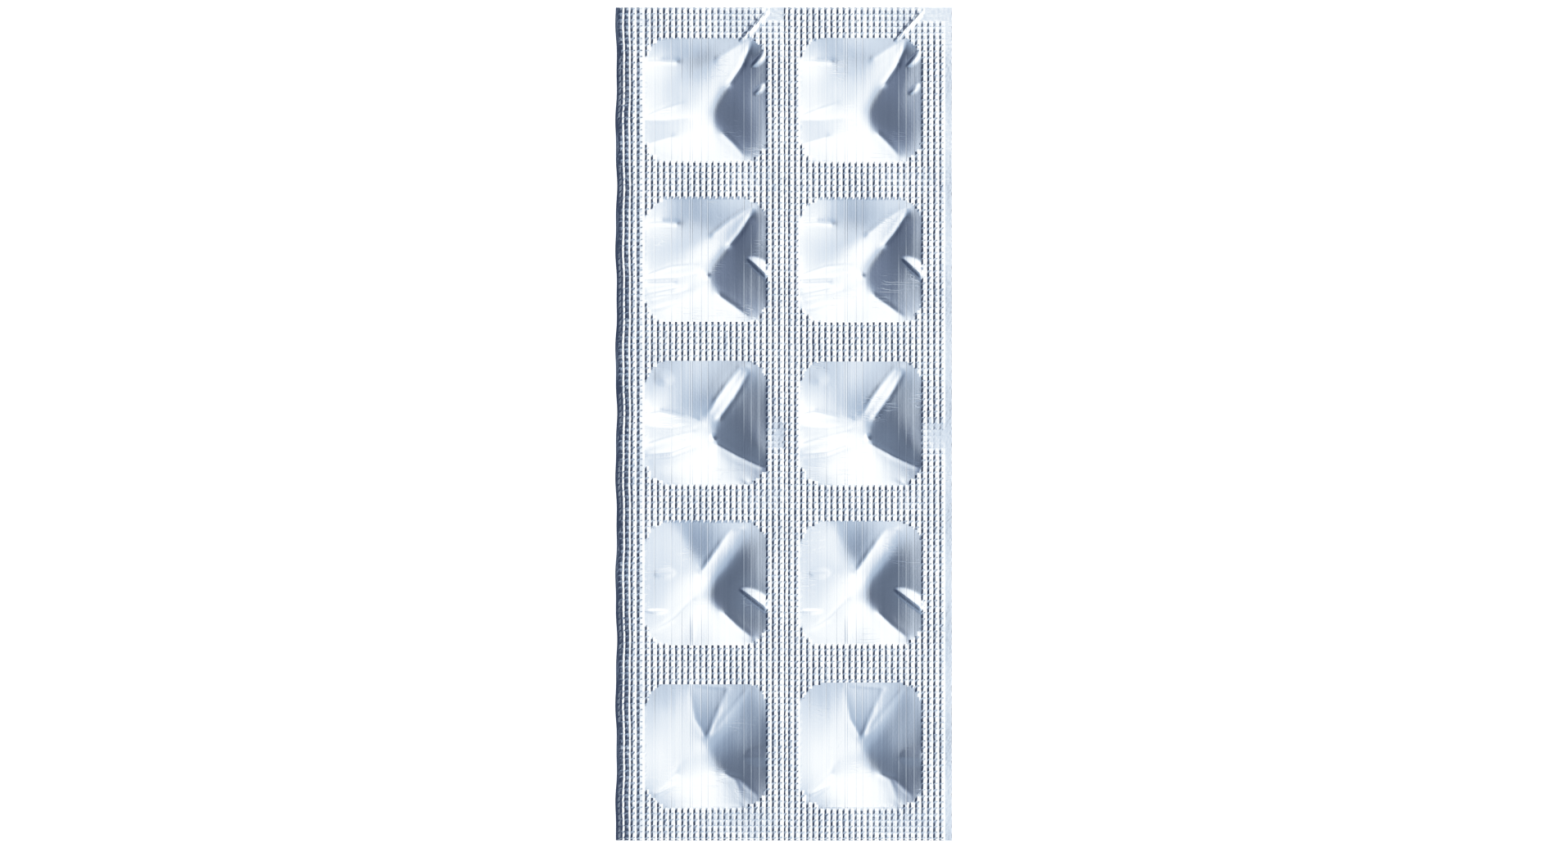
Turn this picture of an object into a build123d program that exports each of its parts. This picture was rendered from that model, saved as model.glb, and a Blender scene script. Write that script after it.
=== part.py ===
from build123d import *
from math import ceil, cos, degrees, hypot, atan2, radians, sin, sqrt
import os

# A sealed pill pack of two aluminium foils, lying on its pockets with the flat lid foil up.
# X is the width, Y the length and Z is up, and Z = 0 is the plane that the pocket floors rest on.
# Sizes are millimetres.

# The cut outline of the pack, and its two foils and seal layer pressed together.
PACK_WIDTH = 50.0
PACK_LENGTH = 124.0
WEB_THICKNESS = 0.3

# Two columns of five pockets. The rows sit a little nearer the far edge than the near one.
COLUMNS = 2
ROWS = 5
COLUMN_PITCH = 23.05
ROW_PITCH = 24.0
ROWS_SHIFT = 0.3

# One formed pocket: a rounded square cup under the web. The foil rolls over its mouth, runs
# down a sloping wall and rolls round again into a flat floor.
POCKET_WIDTH = 18.4
POCKET_LENGTH = 18.9
POCKET_CORNER_RADIUS = 3.8
POCKET_DEPTH = 5.0
POCKET_DRAFT = 12.0
MOUTH_RADIUS = 0.6
FLOOR_RADIUS = 1.2

# Flat facets that stand for each rounded corner, mouth and floor edge of a pocket.
CORNER_FACETS = 4
MOUTH_FACETS = 2
FLOOR_FACETS = 3

# The long lines of the knurled seal, pressed into the lid side by a ribbed roller.
LINE_PITCH = 0.9
LINE_WIDTH = 0.34
LINE_DEPTH = 0.12
EDGE_TO_FIRST_LINE = 0.37
EDGE_BAND_LINES = 4
EDGE_BAND_TO_COLUMNS = 1.23
PLAIN_RIGHT_MARGIN = 1.6

# The left edge is sheared, which bends its margin down.
CURL_WIDTH = 3.5
CURL_DROP = 0.6

# Over each pocket the lid foil sags into a shallow dish, which starts inside the seal.
SEAL_LIP = 0.25
DISH_DEPTH = 0.95
FOLD_MIDDLE = 0.45
LEAST_FACET_TURN = 3.0

# How the sagging foil creases, row by row from the far edge: the deepest point, measured from
# the pocket's centre, and the folds that run from it out to the seal. A fold has a direction in
# degrees from +X, and how far it stands above the plain dish at its middle, or below it.
LIDS = [
    ((0.9, -1.0), [(22, -0.1), (52, 0.32), (75, 0.0), (187, 0.22), (222, 0.05), (304, 0.2)]),
    ((0.0, -2.0), [(18, -0.1), (54, 0.28), (80, 0.0), (178, 0.22), (205, 0.05), (310, 0.2)]),
    ((0.9, -2.3), [(20, -0.1), (60, 0.3), (85, 0.0), (176, 0.2), (210, 0.05), (308, 0.2)]),
    ((0.2, -1.2), [(10, -0.1), (58, 0.3), (82, 0.0), (200, 0.05), (235, 0.2), (312, 0.22)]),
    ((0.3, -0.8), [(12, -0.1), (53, 0.2), (100, -0.1), (192, 0.1), (240, 0.2), (303, 0.22)]),
]

WEB_UNDERSIDE = POCKET_DEPTH
WEB_TOP = WEB_UNDERSIDE + WEB_THICKNESS
HALF_WIDTH = PACK_WIDTH / 2


def line_centres():
    """X of every pressed line: the band on the bent edge, then the rest up to the plain margin."""
    first = EDGE_TO_FIRST_LINE - HALF_WIDTH
    edge_band = [first + i * LINE_PITCH for i in range(EDGE_BAND_LINES)]
    start = edge_band[-1] + EDGE_BAND_TO_COLUMNS
    count = ceil((HALF_WIDTH - PLAIN_RIGHT_MARGIN - start) / LINE_PITCH)
    return edge_band + [start + i * LINE_PITCH for i in range(count)]


def curl(x):
    """How far the bent left margin hangs below the flat web at this X."""
    reach = max(0.0, CURL_WIDTH - (x + HALF_WIDTH)) / CURL_WIDTH
    return CURL_DROP * reach**2


def web_section():
    """The web across its width: V lines along the top, and the bend of the left margin."""
    top = [(-HALF_WIDTH, WEB_TOP - curl(-HALF_WIDTH))]
    underside = [(-HALF_WIDTH, WEB_UNDERSIDE - curl(-HALF_WIDTH))]
    for x in line_centres():
        left, right = x - LINE_WIDTH / 2, x + LINE_WIDTH / 2
        top.append((left, WEB_TOP - curl(left)))
        top.append((x, WEB_TOP - LINE_DEPTH - curl(x)))
        top.append((right, WEB_TOP - curl(right)))
        if curl(x) > 0:
            underside.append((x, WEB_UNDERSIDE - curl(x)))
    top.append((HALF_WIDTH, WEB_TOP))
    underside.append((CURL_WIDTH - HALF_WIDTH, WEB_UNDERSIDE))
    underside.append((HALF_WIDTH, WEB_UNDERSIDE))
    return make_face(Polyline(*top, *reversed(underside), close=True))


def pocket_places():
    """Centre of each pocket with its row number, counted from the far edge."""
    places = []
    for row in range(ROWS):
        y = ROWS_SHIFT + ((ROWS - 1) / 2 - row) * ROW_PITCH
        for column in range(COLUMNS):
            x = (column - (COLUMNS - 1) / 2) * COLUMN_PITCH
            places.append((x, y, row))
    return places


def ring(inset, height):
    """Points round the pocket's outline, this far inside it and at this height."""
    radius = POCKET_CORNER_RADIUS - inset
    corner_x = POCKET_WIDTH / 2 - POCKET_CORNER_RADIUS
    corner_y = POCKET_LENGTH / 2 - POCKET_CORNER_RADIUS
    points = []
    for quarter, (side_x, side_y) in enumerate([(1, 1), (-1, 1), (-1, -1), (1, -1)]):
        for facet in range(CORNER_FACETS + 1):
            angle = radians(90 * (quarter + facet / CORNER_FACETS))
            x = side_x * corner_x + radius * cos(angle)
            y = side_y * corner_y + radius * sin(angle)
            points.append(Vector(x, y, height))
    return points


def band(upper, lower):
    """Two flat facets between each pair of neighbouring points on two rings."""
    faces = []
    for i in range(len(upper)):
        j = (i + 1) % len(upper)
        faces.append(Face(Wire.make_polygon([upper[i], lower[i], lower[j]])))
        faces.append(Face(Wire.make_polygon([upper[i], lower[j], upper[j]])))
    return faces


def cap(points):
    return Face(Wire.make_polygon(points))


def wall_section():
    """Inset and depth of the drawn foil, from the mouth of a pocket down to its floor."""
    turn = 90 - POCKET_DRAFT
    rounding = (MOUTH_RADIUS + FLOOR_RADIUS) * (1 - cos(radians(turn)))
    straight = (POCKET_DEPTH - rounding) / cos(radians(POCKET_DRAFT))
    mouth_step, floor_step = turn / MOUTH_FACETS, turn / FLOOR_FACETS
    mouth_chord = 2 * MOUTH_RADIUS * sin(radians(mouth_step / 2))
    floor_chord = 2 * FLOOR_RADIUS * sin(radians(floor_step / 2))
    steps = [((i + 0.5) * mouth_step, mouth_chord) for i in range(MOUTH_FACETS)]
    steps.append((turn, straight))
    steps += [(turn - (i + 0.5) * floor_step, floor_chord) for i in range(FLOOR_FACETS)]
    section = [(0.0, 0.0)]
    for heading, length in steps:
        inset, depth = section[-1]
        inset += length * cos(radians(heading))
        depth += length * sin(radians(heading))
        section.append((inset, depth))
    return section


def formed_pocket():
    """One pocket filled to the lid: its rim through the web, drawn walls and flat floor."""
    rings = [ring(0, WEB_TOP)]
    rings += [ring(inset, WEB_UNDERSIDE - depth) for inset, depth in wall_section()]
    faces = [cap(rings[0]), cap(rings[-1])]
    for upper, lower in zip(rings, rings[1:]):
        faces += band(upper, lower)
    return Solid(Shell(faces)).clean()


def direction(point):
    return degrees(atan2(point.Y, point.X)) % 360


def rim_point(angle):
    """Where a line from the pocket's centre in this direction meets the rim of the dish."""
    half_x, half_y = POCKET_WIDTH / 2 - SEAL_LIP, POCKET_LENGTH / 2 - SEAL_LIP
    radius = POCKET_CORNER_RADIUS - SEAL_LIP
    centre_x, centre_y = half_x - radius, half_y - radius
    dx, dy = abs(cos(radians(angle))), abs(sin(radians(angle)))
    if dx * half_y > dy * half_x:
        reach = half_x / dx
    else:
        reach = half_y / dy
    if reach * dx > centre_x and reach * dy > centre_y:
        along = dx * centre_x + dy * centre_y
        reach = along + sqrt(along**2 - hypot(centre_x, centre_y) ** 2 + radius**2)
    return Vector(reach * cos(radians(angle)), reach * sin(radians(angle)), WEB_TOP)


def fold_lift(folds, angle):
    """Height of the foil above the plain dish, blended between the folds on either side."""
    (last, last_lift), (first, first_lift) = folds[-1], folds[0]
    around = [(last - 360, last_lift), *folds, (first + 360, first_lift)]
    for (start, low), (end, high) in zip(around, around[1:]):
        if start <= angle < end:
            return low + (high - low) * (angle - start) / (end - start)


def room_over_lid(deepest, folds):
    """The room over one creased lid foil, with flat facets between its folds."""
    fold_angles = [angle for angle, lift in folds]
    rim = [
        point
        for point in ring(SEAL_LIP, WEB_TOP)
        if min(abs(direction(point) - angle) for angle in fold_angles) > LEAST_FACET_TURN
    ]
    rim = sorted(rim + [rim_point(angle) for angle in fold_angles], key=direction)
    bottom = Vector(*deepest, WEB_TOP - DISH_DEPTH)
    middle = []
    for point in rim:
        lift = fold_lift(folds, direction(point))
        middle.append(bottom + (point - bottom) * FOLD_MIDDLE + Vector(0, 0, lift))
    above = [point + Vector(0, 0, WEB_THICKNESS) for point in rim]
    faces = [cap(above), *band(above, rim), *band(rim, middle)]
    for i in range(len(middle)):
        faces.append(cap([middle[i], middle[(i + 1) % len(middle)], bottom]))
    return Solid(Shell(faces))


def blister_pack():
    """The whole sealed pack as one solid."""
    web = extrude(Plane.XZ * web_section(), amount=PACK_LENGTH / 2, both=True)
    pocket = formed_pocket()
    lids = [room_over_lid(*lid) for lid in LIDS]
    pockets = []
    rooms = []
    for x, y, row in pocket_places():
        pockets.append(Pos(x, y) * pocket)
        rooms.append(Pos(x, y) * lids[row % len(lids)])
    return web + pockets - rooms


os.makedirs("parts", exist_ok=True)
pack = blister_pack()
box = pack.bounding_box()
print("pack", box.size, "volume", round(pack.volume), "solids", len(pack.solids()))
export_step(pack, "parts/blister_pack.step")
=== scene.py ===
# %% [markdown]
# A sealed pack of pills between two aluminium foils, seen from its lid side. The lid foil is
# welded to the formed foil under a ribbed roller, which leaves the fine knurl, and over each
# of the ten pockets it sags and creases. This lesson builds that foil as three closed meshes
# that stand for the CAD solid, and then paints and lights them.

# %% The frame, the tools and the units
import math

import bpy
import numpy as np
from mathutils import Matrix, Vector
from mathutils.geometry import delaunay_2d_cdt


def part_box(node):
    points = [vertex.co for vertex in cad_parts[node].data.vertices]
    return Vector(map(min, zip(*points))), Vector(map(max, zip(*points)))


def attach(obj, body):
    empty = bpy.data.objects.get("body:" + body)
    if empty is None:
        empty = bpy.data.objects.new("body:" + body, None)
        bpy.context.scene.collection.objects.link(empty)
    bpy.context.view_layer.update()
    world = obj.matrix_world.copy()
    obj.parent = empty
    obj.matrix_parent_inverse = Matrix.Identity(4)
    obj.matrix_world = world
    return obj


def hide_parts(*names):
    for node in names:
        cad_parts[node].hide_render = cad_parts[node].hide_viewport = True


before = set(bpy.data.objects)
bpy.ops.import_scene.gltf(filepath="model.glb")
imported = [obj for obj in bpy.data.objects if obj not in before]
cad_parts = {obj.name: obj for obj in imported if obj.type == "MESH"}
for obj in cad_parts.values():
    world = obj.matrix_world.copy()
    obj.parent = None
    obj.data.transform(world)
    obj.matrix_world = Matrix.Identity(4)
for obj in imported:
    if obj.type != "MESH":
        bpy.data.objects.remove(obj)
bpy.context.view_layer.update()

MM = 0.001
SOLID = "blister_pack"
low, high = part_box(SOLID)
WIDTH = (high[0] - low[0]) / MM
LENGTH = (high[1] - low[1]) / MM
WEB_TOP = (high[2] - low[2]) / MM
print("frame in mm", round(WIDTH, 2), round(LENGTH, 2), round(WEB_TOP, 2))

# %% [markdown]
# The real pack is stamped by tools with fixed steps, so a few pitches place everything. They
# are in millimetres from the middle of the pack, as on the CAD part. All shapes are worked
# out in millimetres, and turned into metres when they are written to a mesh.

# %% The steps of the forming and sealing tools
WEB_THICKNESS = 0.3
COLUMN_PITCH = 23.05
ROW_PITCH = 24.0
ROWS_SHIFT = 0.3
ROWS = 5
POCKET_WIDTH = 18.4
POCKET_LENGTH = 18.9
POCKET_CORNER = 3.8

column_centres = [-COLUMN_PITCH / 2, COLUMN_PITCH / 2]
row_centres = [ROWS_SHIFT + ((ROWS - 1) / 2 - row) * ROW_PITCH for row in range(ROWS)]
print("columns at", column_centres, "rows at", row_centres)

# %% [markdown]
# A pocket's outline is a rounded square. It could be drawn as a curve, but the distance from a
# point to that outline is all that later steps need, and a formula gives it at once: it says
# where the knurl stops, and how near a point is to the seal.

# %% How deep a point lies inside a pocket's outline


def depth_inside(u, v):
    """Distance in from the outline of the pocket round (0, 0), negative outside."""
    over_u = np.abs(u) - (POCKET_WIDTH / 2 - POCKET_CORNER)
    over_v = np.abs(v) - (POCKET_LENGTH / 2 - POCKET_CORNER)
    past_corner = np.hypot(np.maximum(over_u, 0), np.maximum(over_v, 0))
    return POCKET_CORNER - past_corner - np.minimum(np.maximum(over_u, over_v), 0)


def nearest_pocket(x, y):
    """Position of each point from the middle of its nearest pocket, and that pocket's row."""
    u = x - np.where(x < 0, column_centres[0], column_centres[1])
    row = np.clip(np.rint((row_centres[0] - y) / ROW_PITCH), 0, ROWS - 1).astype(int)
    return u, y - np.array(row_centres)[row], row


print("middle of a pocket to its outline", depth_inside(np.array([0.0]), np.array([0.0])))

# %% [markdown]
# A lid foil is stretched like a drum skin and held at its rim and along its sharp folds. That
# is how it is made here: the folds are drawn as lines with a height, and the sheet is
# stretched between them, as a soap film would be. A subdivided cage would round the folds
# off, and a cloth simulation couldn't put them where the photo has them.

# %% The folds of the five lids, from the far row to the near one
# A fold is a line of points (across, along, height) in mm from the middle of its pocket.
# A ridge is a start, an end, a height, and a width on its left and on its right.
# A dent is a middle (across, along), its reach both ways and a depth.
LIDS = [
    {
        "sharp": [
            [(6.7, 9.1, 0.0), (4.2, 7.8, -0.06), (1.8, 6.2, -0.15)],
            [(6.7, 9.1, 0.0), (6.3, 7.4, -0.3), (5.3, 5.0, -0.54), (3.6, 2.5, -0.72)],
            [(-9.0, 5.7, -0.1), (-7.0, 5.8, -0.28), (-4.6, 5.7, -0.35)],
            [(-9.0, -2.4, -0.14), (-6.2, -1.3, -0.36), (-3.6, -0.4, -0.44)],
            [(-9.2, -3.0, 0.0), (-6.0, -3.1, -0.22), (-2.6, -2.8, -0.48)],
            [(2.8, -5.4, -0.6), (4.2, -6.8, -0.38), (6.0, -9.0, -0.02)],
            [(-9.0, -6.6, -0.06), (-5.4, -5.6, -0.34)],
        ],
        "soft": [
            [(1.8, 6.2, -0.15), (-1.5, 5.9, -0.3), (-4.6, 5.7, -0.35)],
            [(3.6, 2.5, -0.72), (1.8, 0.4, -0.86), (0.6, -1.6, -0.96), (0.7, -3.2, -0.9),
             (2.8, -5.4, -0.6)],
            [(1.8, 6.2, -0.15), (0.0, 4.8, -0.26), (-4.4, 4.0, -0.25)],
            [(-4.4, 4.0, -0.25), (-4.6, 1.6, -0.24), (-3.6, -0.4, -0.44)],
            [(-2.6, -2.8, -0.48), (0.6, -1.6, -0.95)],
            [(-5.4, -5.6, -0.34), (-2.4, -5.0, -0.54), (0.4, -4.6, -0.8), (2.8, -5.4, -0.6)],
            [(6.8, 5.4, -0.12), (5.8, 2.6, -0.24), (5.4, -1.4, -0.27), (5.8, -4.6, -0.24),
             (7.4, -7.4, -0.04)],
        ],
        "ridges": [
            ((6.7, 5.0), (8.7, 7.2), 0.22, 0.12, 0.8),
            ((7.1, 0.9), (8.5, 2.3), 0.16, 0.12, 0.6),
        ],
        "dents": [],
    },
    {
        "sharp": [
            [(6.9, 8.0, 0.0), (5.5, 7.4, -0.04), (3.8, 6.3, -0.12), (1.1, 4.1, -0.26)],
            [(6.9, 8.0, 0.0), (6.5, 6.6, -0.26), (5.0, 4.2, -0.54), (3.6, 2.5, -0.71)],
            [(-9.0, 5.6, -0.12), (-6.6, 5.8, -0.34), (-4.4, 5.6, -0.4)],
            [(-8.9, -2.1, -0.14), (-5.3, -0.8, -0.42), (-2.0, -0.4, -0.62)],
            [(-9.1, -2.9, 0.0), (-4.8, -2.7, -0.26), (-1.0, -1.9, -0.66)],
            [(2.1, -5.4, -0.66), (4.5, -7.1, -0.36), (6.9, -8.9, 0.0)],
            [(-8.9, -3.2, -0.1), (-4.8, -3.1, -0.34)],
            [(-8.8, -5.0, 0.0), (-4.6, -4.2, -0.22), (-3.2, -3.9, -0.42)],
        ],
        "soft": [
            [(1.1, 4.1, -0.26), (-1.0, 2.4, -0.34), (-3.4, 1.0, -0.4)],
            [(-4.4, 5.6, -0.38), (-1.5, 5.6, -0.34), (1.0, 4.9, -0.25)],
            [(-4.6, 4.0, -0.34), (-4.4, 1.4, -0.36)],
            [(3.6, 2.5, -0.71), (1.9, 0.8, -0.84), (0.5, -0.8, -0.94), (0.1, -2.2, -0.97),
             (0.6, -4.0, -0.86)],
            [(-2.0, -0.4, -0.62), (0.5, -0.8, -0.94)],
            [(-1.0, -1.9, -0.66), (0.1, -2.2, -0.97)],
            [(-8.6, -5.6, -0.06), (-4.8, -5.2, -0.4), (0.6, -4.0, -0.86), (2.1, -5.4, -0.66)],
            [(7.0, 5.4, -0.12), (5.8, 2.0, -0.25), (5.6, -1.6, -0.3), (6.2, -5.2, -0.2),
             (7.6, -7.4, -0.04)],
        ],
        "ridges": [
            ((-8.5, -6.2), (-5.4, -5.2), 0.03, 0.4, 0.4),
            ((-8.3, -7.4), (-4.4, -6.2), 0.03, 0.4, 0.4),
            ((6.0, 0.3), (10.2, -3.6), 0.26, 1.6, 0.25),
        ],
        "dents": [(0.04, -2.2, 0.55, 0.55, 0.08)],
    },
    {
        "sharp": [
            [(6.0, 8.2, 0.0), (5.0, 8.1, 0.0), (2.8, 5.2, -0.1), (1.4, 3.2, -0.25),
             (0.4, 1.5, -0.48)],
            [(6.0, 8.2, 0.0), (6.0, 7.1, -0.13), (5.0, 5.2, -0.31), (3.8, 3.3, -0.47),
             (2.1, 0.9, -0.76)],
            [(-9.0, 1.2, -0.26), (-7.0, 1.6, -0.36), (-3.2, 0.8, -0.48), (-1.4, 0.3, -0.62)],
            [(-9.0, -0.6, -0.02), (-7.4, -0.9, -0.12), (-5.0, -1.0, -0.27), (-2.0, -0.6, -0.56)],
            [(-8.9, -3.2, -0.12), (-5.2, -2.1, -0.34), (-2.3, -1.4, -0.6)],
            [(-8.8, -5.0, 0.0), (-5.2, -4.6, -0.14), (-2.3, -3.5, -0.42)],
            [(1.6, -3.3, -0.9), (4.6, -5.0, -0.6), (8.3, -6.7, -0.14)],
            [(3.6, -6.8, -0.36), (6.0, -9.0, 0.0)],
        ],
        "soft": [
            [(0.2, 9.2, -0.02), (0.4, 5.4, -0.2), (0.3, 3.2, -0.31), (0.4, 1.5, -0.48)],
            [(0.4, 1.5, -0.48), (-1.4, 0.3, -0.62)],
            [(2.1, 0.9, -0.76), (0.7, -0.5, -0.92), (0.9, -2.3, -0.98), (1.3, -4.6, -0.8),
             (3.6, -6.8, -0.36)],
            [(0.9, -2.3, -0.98), (1.6, -3.3, -0.86)],
            [(-2.0, -0.6, -0.56), (0.7, -0.5, -0.92)],
            [(-2.3, -1.4, -0.6), (0.7, -0.5, -0.92)],
            [(-2.3, -3.5, -0.42), (0.9, -2.3, -0.98)],
            [(-8.6, -5.8, -0.06), (-5.2, -5.4, -0.28), (-2.0, -4.4, -0.56), (1.3, -4.6, -0.8)],
            [(7.2, 5.8, -0.1), (6.2, 1.6, -0.22), (6.4, -1.6, -0.2), (7.6, -4.4, -0.08)],
        ],
        "ridges": [],
        "dents": [(0.9, -2.27, 0.55, 0.55, 0.12), (-6.4, 6.4, 1.6, 1.3, -0.05)],
    },
    {
        "sharp": [
            [(5.3, 8.3, 0.0), (3.6, 8.1, -0.01), (2.1, 5.9, -0.08), (0.7, 3.8, -0.21),
             (-0.7, 1.8, -0.42)],
            [(-8.6, -7.4, 0.0), (-4.9, -5.3, -0.36), (-2.3, -2.5, -0.66)],
            [(2.8, -4.6, -0.64), (4.5, -6.3, -0.4), (6.4, -7.8, -0.14), (7.3, -8.5, 0.0)],
        ],
        "soft": [
            [(-3.4, 9.2, -0.02), (-3.2, 6.4, -0.3), (-2.4, 4.4, -0.42), (-0.7, 1.8, -0.42)],
            [(5.3, 8.3, 0.0), (5.2, 7.7, -0.08), (4.6, 5.9, -0.27), (3.6, 3.7, -0.42),
             (2.1, 1.8, -0.68)],
            [(-6.6, 7.4, -0.06), (-6.4, 2.0, -0.16), (-6.0, -2.4, -0.22), (-6.6, -5.6, -0.16)],
            [(-4.8, 1.4, -0.26), (-0.7, 1.8, -0.42)],
            [(2.1, 1.8, -0.68), (0.6, 0.7, -0.84), (0.2, -1.2, -0.95), (0.4, -3.0, -0.88),
             (2.8, -4.6, -0.64)],
            [(-2.3, -2.5, -0.66), (0.2, -1.2, -0.95)],
            [(-2.2, -9.2, -0.02), (-2.2, -4.6, -0.5), (0.4, -3.0, -0.88)],
            [(7.6, 5.6, -0.08), (6.2, 3.4, -0.16), (4.9, 0.6, -0.27), (5.4, -2.0, -0.27),
             (6.4, -4.6, -0.2),
             (7.7, -6.8, -0.06)],
        ],
        "ridges": [
            ((-9.1, -4.1), (-5.8, -4.1), 0.1, 0.1, 0.6),
            ((-2.15, -9.3), (-2.18, -4.4), 0.02, 0.2, 0.6),
            ((4.9, -1.0), (10.8, -5.4), 0.28, 1.7, 0.25),
            ((-7.8, 1.3), (-4.6, 1.6), 0.05, 1.0, 1.0),
        ],
        "dents": [],
    },
    {
        "sharp": [
            [(3.2, 8.3, 0.0), (1.8, 5.2, -0.16), (0.3, 1.6, -0.46)],
            [(-2.6, 9.0, -0.02), (-1.7, 3.8, -0.4), (-0.3, 1.6, -0.6)],
            [(-8.0, -7.2, 0.0), (-4.6, -4.3, -0.42), (-4.0, -2.8, -0.46)],
            [(3.0, -4.5, -0.66), (4.3, -5.2, -0.5), (5.6, -9.2, 0.0)],
            [(3.0, -4.5, -0.66), (4.8, -5.0, -0.46), (8.0, -8.1, -0.01)],
        ],
        "soft": [
            [(7.2, 8.3, 0.0), (5.6, 6.2, -0.16), (3.6, 3.5, -0.37), (1.7, 1.3, -0.62),
             (0.2, -0.2, -0.86)],
            [(0.2, -0.2, -0.86), (0.4, -1.6, -0.92), (1.2, -3.7, -0.84), (3.0, -4.5, -0.66)],
            [(2.6, 0.6, -0.6), (2.6, -1.8, -0.74), (3.0, -4.5, -0.66)],
            [(0.3, 1.6, -0.46), (0.1, 0.5, -0.68), (0.2, -0.2, -0.86)],
            [(-0.3, 1.6, -0.58), (0.1, 0.5, -0.68)],
            [(-5.6, 4.6, -0.18), (-5.4, 0.6, -0.24), (-4.0, -2.8, -0.46)],
            [(-4.0, -2.8, -0.46), (-1.6, -2.2, -0.7), (0.4, -1.6, -0.92)],
            [(-4.6, -4.3, -0.42), (-1.6, -5.1, -0.52), (1.2, -3.7, -0.84)],
            [(7.2, 6.2, -0.08), (6.4, 2.8, -0.2), (5.8, -0.8, -0.34), (6.4, -3.6, -0.26)],
        ],
        "ridges": [
            ((0.5, 1.2), (6.3, 8.6), 0.02, 0.5, 0.8),
            ((-7.9, -7.7), (-4.6, -5.8), 0.06, 0.3, 0.6),
            ((-1.8, 8.8), (3.4, 8.4), 0.03, 0.4, 0.3),
            ((5.6, -1.9), (10.4, -1.7), 0.05, 1.6, 1.6),
        ],
        "dents": [],
    },
]
print("folds of each lid", [len(lid["sharp"] + lid["soft"]) for lid in LIDS])

# %% [markdown]
# The sheet between the folds is a net of small triangles whose edges run along the folds. Each
# free knot of the net takes the height at which its neighbours pull it equally in all
# directions. That is one set of linear equations for each lid, which is solved in one go where
# a cloth would have to settle.

# %% Stretching a net between the folds
KNOT_SPACING = 0.42
CORNER_STEPS = 6
CLEAR_OF_FOLDS = 0.55
CLEAR_OF_RIM = 0.5


def rim_line():
    """Points round the pocket's outline, at the height of the seal."""
    points = []
    for quarter, (side_u, side_v) in enumerate([(1, 1), (-1, 1), (-1, -1), (1, -1)]):
        for step in range(CORNER_STEPS + 1):
            angle = math.radians(90 * (quarter + step / CORNER_STEPS))
            u = side_u * (POCKET_WIDTH / 2 - POCKET_CORNER) + POCKET_CORNER * math.cos(angle)
            v = side_v * (POCKET_LENGTH / 2 - POCKET_CORNER) + POCKET_CORNER * math.sin(angle)
            points.append((u, v, 0.0))
    return points + points[:1]


def knots_along(line):
    """The line cut into steps no longer than the knot spacing."""
    line = np.array(line, dtype=float)
    knots = [line[0]]
    for start, end in zip(line, line[1:]):
        steps = max(1, math.ceil(math.hypot(*(end - start)[:2]) / KNOT_SPACING))
        knots += [start + (end - start) * (i + 1) / steps for i in range(steps)]
    return knots


def held_knots(folds):
    """Places and heights of the knots on the rim and the folds, and the edges along them."""
    places, heights, edges, numbers = [], [], [], {}
    for line in [rim_line()] + folds:
        ids = []
        for u, v, height in knots_along(line):
            key = (round(u, 2), round(v, 2))
            if key not in numbers:
                numbers[key] = len(places)
                places.append((u, v))
                heights.append(height)
            ids.append(numbers[key])
        edges += list(zip(ids, ids[1:]))
    return places, heights, edges


def free_knots(held):
    """A triangular lattice of knots inside the rim, clear of the held ones."""
    row_step = KNOT_SPACING * math.sqrt(3) / 2
    count = int(POCKET_LENGTH / 2 / row_step) + 1
    held = np.array(held)
    knots = []
    for j in range(-count, count + 1):
        for i in range(-count, count + 1):
            knot = np.array([(i + 0.5 * (j % 2)) * KNOT_SPACING, j * row_step])
            clear = np.min(np.hypot(*(held - knot).T)) > CLEAR_OF_FOLDS * KNOT_SPACING
            if clear and depth_inside(knot[0], knot[1]) > CLEAR_OF_RIM * KNOT_SPACING:
                knots.append(tuple(knot))
    return knots


print("knots held by the rim alone", len(held_knots([])[0]))

# %% Solving for the heights of the free knots
SAME_PLACE = 1e-3
LEAST_CROSS = 1e-6
LEAST_PULL = 0.02


def stretched_net(folds):
    """Places, heights and triangles of the sheet stretched between the folds."""
    places, heights, edges = held_knots(folds)
    inner = free_knots(places)
    points = [Vector(place) for place in places + inner]
    co, _, triangles, origins, _, _ = delaunay_2d_cdt(points, edges, [], 1, SAME_PLACE)
    co = np.array([tuple(point) for point in co])
    z = np.full(len(co), np.nan)
    for number, sources in enumerate(origins):
        known = [heights[source] for source in sources if source < len(heights)]
        if known:
            z[number] = known[0]
    pull = np.zeros((len(co), len(co)))
    for a, b, c in [(t[i], t[i - 2], t[i - 1]) for t in triangles for i in range(3)]:
        to_a, to_b = co[a] - co[c], co[b] - co[c]
        cross = abs(to_a[0] * to_b[1] - to_a[1] * to_b[0])
        weight = max(LEAST_PULL, np.dot(to_a, to_b) / max(LEAST_CROSS, cross)) / 2
        pull[a, b] -= weight
        pull[b, a] -= weight
        pull[a, a] += weight
        pull[b, b] += weight
    free = np.isnan(z)
    known_pull = -pull[np.ix_(free, ~free)] @ z[~free]
    z[free] = np.linalg.solve(pull[np.ix_(free, free)], known_pull)
    return co, z, triangles


# %% [markdown]
# A mesh needs the height at any point, so each net is read once onto a fine square map. Foil
# folds crisply where it is creased and softly where it only sags, so the map is softened a
# lot, and then the crisp one is kept near the sharp folds. Small ridges and dents would need a
# much finer net as folds, so they go on top of the map.

# %% Reading a net onto a map, and softening it
MAP_STEP = 0.06
MAP_HALF = 12.0
LEAST_AREA = 1e-9
EDGE_SLACK = 1e-6
map_count = int(2 * MAP_HALF / MAP_STEP) + 1
map_u, map_v = np.meshgrid(*[np.linspace(-MAP_HALF, MAP_HALF, map_count)] * 2)


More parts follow.
